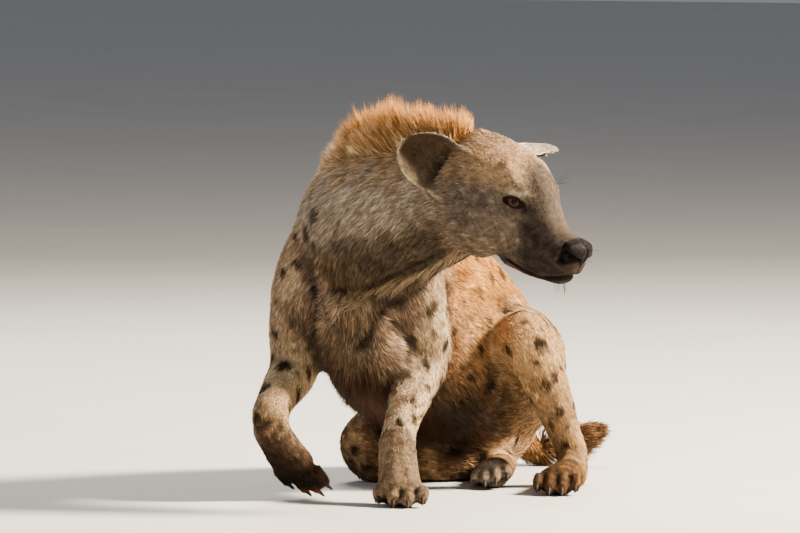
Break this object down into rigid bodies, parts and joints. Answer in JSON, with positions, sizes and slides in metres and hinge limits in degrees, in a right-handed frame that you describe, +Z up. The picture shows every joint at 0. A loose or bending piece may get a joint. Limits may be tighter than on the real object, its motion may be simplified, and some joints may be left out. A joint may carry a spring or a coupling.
{
  "type": "spotted hyena model",
  "caption": "Life-size still model of an adult spotted hyena sitting on its haunch with one forepaw lifted and its head turned, for display or study.",
  "frame": {"origin": "the middle of the bounding box, on the floor", "axes": "+Z is up, the body points to -Y from tail to chest, and +X is the animal's left"},
  "size_m": [0.6233, 0.9388, 0.6114],
  "materials": {
    "coat": "short to medium fur, tan and buff with dark brown spots, dark muzzle and paws",
    "mane": "standing rust-brown hair with pale tips",
    "nose": "moist black nose leather, finely pebbled",
    "eye": "clear glossy dark red-brown eye",
    "claw": "blunt dark horn with a soft shine"
  },
  "bodies": {
    "root": {"nose": "nose", "eye_right": "eye", "eye_left": "eye", "lower_jaw": "coat", "head": "coat", "ear_right": "coat", "ear_left": "coat", "forepaw_left_claw_1": "claw", "forepaw_left_claw_2": "claw", "forepaw_left_claw_3": "claw", "forepaw_left_claw_4": "claw", "forepaw_left": "coat", "forepaw_right_claw_1": "claw", "forepaw_right_claw_2": "claw", "forepaw_right_claw_3": "claw", "forepaw_right_claw_4": "claw", "forepaw_right": "coat", "hind_foot_left_claw_1": "claw", "hind_foot_left_claw_2": "claw", "hind_foot_left_claw_3": "claw", "hind_foot_left_claw_4": "claw", "hind_foot_left": "coat", "hind_foot_right_claw_1": "claw", "hind_foot_right_claw_2": "claw", "hind_foot_right_claw_3": "claw", "hind_foot_right_claw_4": "claw", "hind_foot_right": "coat", "shin_right": "coat", "thigh_right": "coat", "shin_left": "coat", "thigh_left": "coat", "forearm_right": "coat", "upper_arm_right": "coat", "forearm_left": "coat", "upper_arm_left": "coat", "tail_tuft": "coat", "tail": "coat", "neck": "coat", "chest": "coat", "belly": "coat", "rump": "coat", "mane": "mane"}
  },
  "joints": []
}
